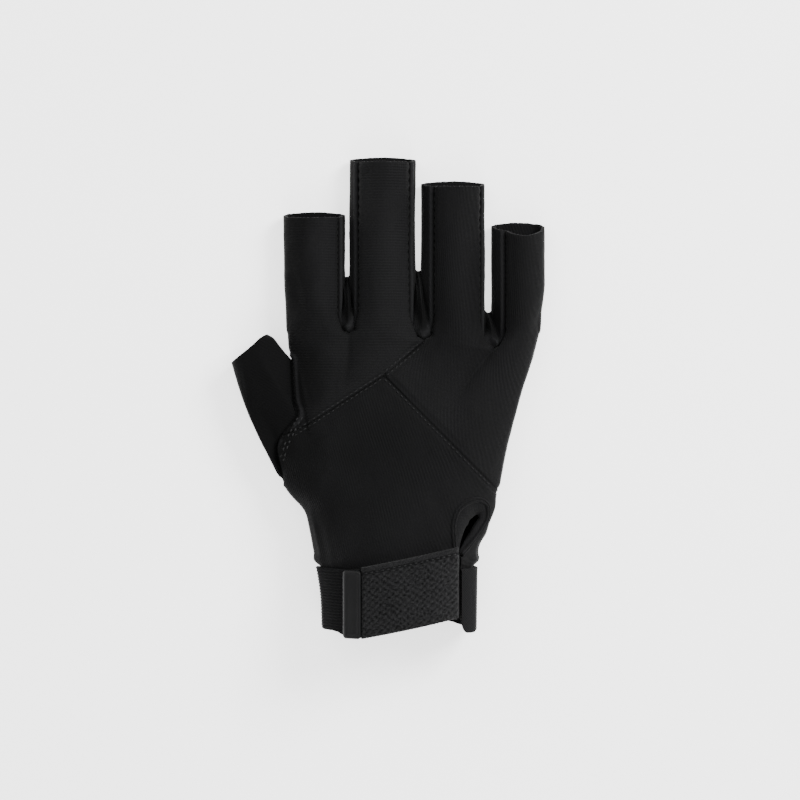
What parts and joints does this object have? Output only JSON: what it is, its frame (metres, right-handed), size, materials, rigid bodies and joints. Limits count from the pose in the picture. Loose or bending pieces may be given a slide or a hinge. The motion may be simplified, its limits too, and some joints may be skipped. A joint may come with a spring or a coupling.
{
  "type": "water sports glove",
  "caption": "Cut-finger stretch glove for the right hand, with a thumb sleeve, a keyhole wrist vent, a wrist band and a closing strap with a pull tab.",
  "frame": {"origin": "middle of the glove's box, on the ground under the palm", "axes": "+Y from the wrist to the fingertips, +X from the thumb side to the little finger, +Z out of the back of the hand"},
  "size_m": [0.125, 0.1902, 0.0383],
  "materials": {
    "stretch_cloth": "smooth matte black stretch cloth",
    "thumb_cloth": "matte black stretch cloth, a shade darker",
    "band_weave": "fine ribbed knit band",
    "strap_pile": "coarse matte loop pile",
    "tab_rubber": "satin moulded rubber"
  },
  "bodies": {
    "root": {"back_upper_panel": "stretch_cloth", "back_outer_panel": "stretch_cloth", "back_lower_panel": "stretch_cloth", "palm_panel": "stretch_cloth", "fourchette_index_middle": "stretch_cloth", "fourchette_middle_ring": "stretch_cloth", "fourchette_ring_little": "stretch_cloth", "thumb_sleeve": "thumb_cloth", "slit_binding": "stretch_cloth", "wrist_cuff": "band_weave", "strap": "strap_pile", "pull_tab": "tab_rubber"}
  },
  "joints": []
}
